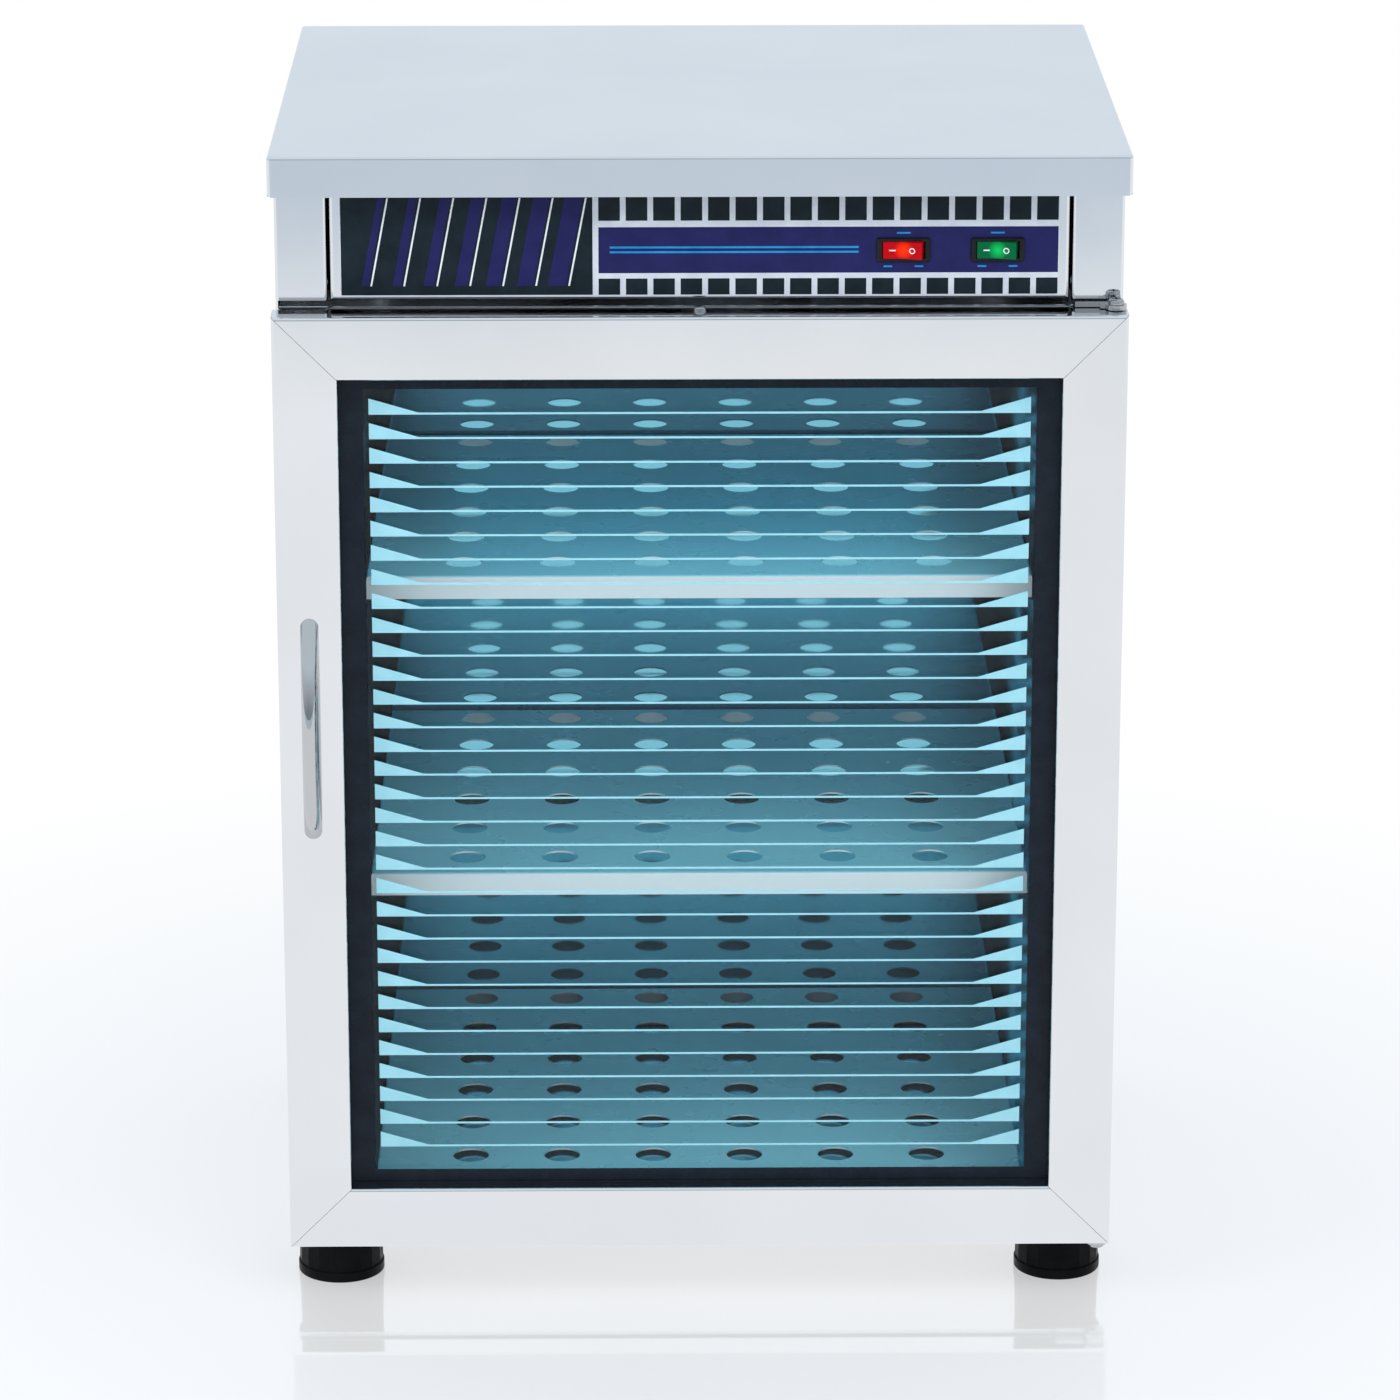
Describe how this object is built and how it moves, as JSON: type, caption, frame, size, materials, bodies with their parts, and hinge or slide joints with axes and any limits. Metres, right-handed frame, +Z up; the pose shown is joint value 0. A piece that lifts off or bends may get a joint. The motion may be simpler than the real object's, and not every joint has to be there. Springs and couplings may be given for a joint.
{
  "type": "ultraviolet sterilizer cabinet",
  "caption": "Polished steel cabinet with a tinted glass door, perforated shelves, a lamp behind the header and a panel with rocker switches, on levelling feet.",
  "frame": {"origin": "on the floor, in the middle of the overall box, handle and cable inlet included", "axes": "+Z up, +Y towards the back, the door faces -Y"},
  "size_m": [0.496, 0.427, 0.706],
  "materials": {
    "polished_steel": "bright polished stainless sheet",
    "chamber_steel": "bright stainless liner",
    "shelf_steel": "bright perforated stainless",
    "hinge_steel": "plain stainless plate",
    "screw_steel": "zinc plated steel",
    "ballast_steel": "coated steel",
    "handle_chrome": "bright chrome",
    "tinted_glass": "clear, blue-green tint",
    "lamp_glass": "clear quartz tube",
    "black_rubber": "matt",
    "black_plastic": "satin",
    "foot_plastic": "satin",
    "white_plastic": "satin",
    "printed_film": "printed film",
    "red_lens": "lit lens",
    "green_lens": "lit lens"
  },
  "bodies": {
    "cabinet": {"lid": "polished_steel", "side_left": "polished_steel", "side_right": "polished_steel", "back_panel": "polished_steel", "base_pan": "polished_steel", "header_rail": "polished_steel", "casing_screws": "screw_steel", "cable_gland": "black_plastic", "liner_left": "chamber_steel", "liner_right": "chamber_steel", "liner_back": "chamber_steel", "chamber_ceiling": "chamber_steel", "chamber_floor": "chamber_steel", "ledges_left": "chamber_steel", "ledges_right": "chamber_steel", "shelf_upper": "shelf_steel", "shelf_middle": "shelf_steel", "floor_plate": "shelf_steel", "fascia": "polished_steel", "overlay": "printed_film", "switch_housing_power": "black_plastic", "switch_housing_uv": "black_plastic", "door_switch": "black_plastic", "catch": "white_plastic", "hinge_plate_upper": "hinge_steel", "hinge_plate_lower": "hinge_steel", "pivot_upper": "screw_steel", "pivot_lower": "screw_steel", "hinge_screws": "screw_steel", "lamp_tube": "lamp_glass", "lamp_caps": "screw_steel", "lamp_holders": "white_plastic", "reflector": "chamber_steel", "ballast": "ballast_steel", "starter": "white_plastic", "starter_socket": "white_plastic", "terminal_block": "white_plastic", "foot_nuts": "screw_steel"},
    "door": {"door_stile_left": "polished_steel", "door_stile_right": "polished_steel", "door_rail_top": "polished_steel", "door_rail_bottom": "polished_steel", "glass": "tinted_glass", "glass_gasket": "black_rubber", "glass_retainer": "polished_steel", "door_seal": "black_rubber", "strike": "screw_steel", "handle": "handle_chrome", "handle_screws": "screw_steel", "door_top_screw": "screw_steel", "bushes": "white_plastic"},
    "plunger": {"door_plunger": "white_plastic"},
    "power_rocker": {"rocker_power": "red_lens"},
    "uv_rocker": {"rocker_uv": "green_lens"},
    "foot_front_left": {"foot_front_left": "foot_plastic"},
    "foot_front_right": {"foot_front_right": "foot_plastic"},
    "foot_back_left": {"foot_back_left": "foot_plastic"},
    "foot_back_right": {"foot_back_right": "foot_plastic"}
  },
  "joints": [
    {"name": "door_hinge", "type": "hinge", "parent": "cabinet", "child": "door", "pos_m": [0.241, -0.1705, 0.3], "axis": [0, 0, 1], "range_deg": [0, 110]},
    {"name": "plunger_slide", "type": "slide", "parent": "cabinet", "child": "plunger", "axis": [0, -1, 0], "range_m": [0, 0.003]},
    {"name": "power_rocker_tilt", "type": "hinge", "parent": "cabinet", "child": "power_rocker", "pos_m": [0.118, -0.1595, 0.645], "axis": [0, 0, 1], "range_deg": [0, 18]},
    {"name": "uv_rocker_tilt", "type": "hinge", "parent": "cabinet", "child": "uv_rocker", "pos_m": [0.1725, -0.1595, 0.645], "axis": [0, 0, 1], "range_deg": [0, 18]},
    {"name": "foot_front_left_turn", "type": "hinge", "parent": "cabinet", "child": "foot_front_left", "pos_m": [-0.2195, -0.1335, 0.016], "axis": [0, 0, 1], "continuous": true},
    {"name": "foot_front_right_turn", "type": "hinge", "parent": "cabinet", "child": "foot_front_right", "pos_m": [0.2195, -0.1335, 0.016], "axis": [0, 0, 1], "continuous": true},
    {"name": "foot_back_left_turn", "type": "hinge", "parent": "cabinet", "child": "foot_back_left", "pos_m": [-0.2195, 0.1785, 0.016], "axis": [0, 0, 1], "continuous": true},
    {"name": "foot_back_right_turn", "type": "hinge", "parent": "cabinet", "child": "foot_back_right", "pos_m": [0.2195, 0.1785, 0.016], "axis": [0, 0, 1], "continuous": true}
  ],
  "couplings": [
    {"joint": "plunger_slide", "follows": "door_hinge", "m_per_rad": 0.0015}
  ]
}
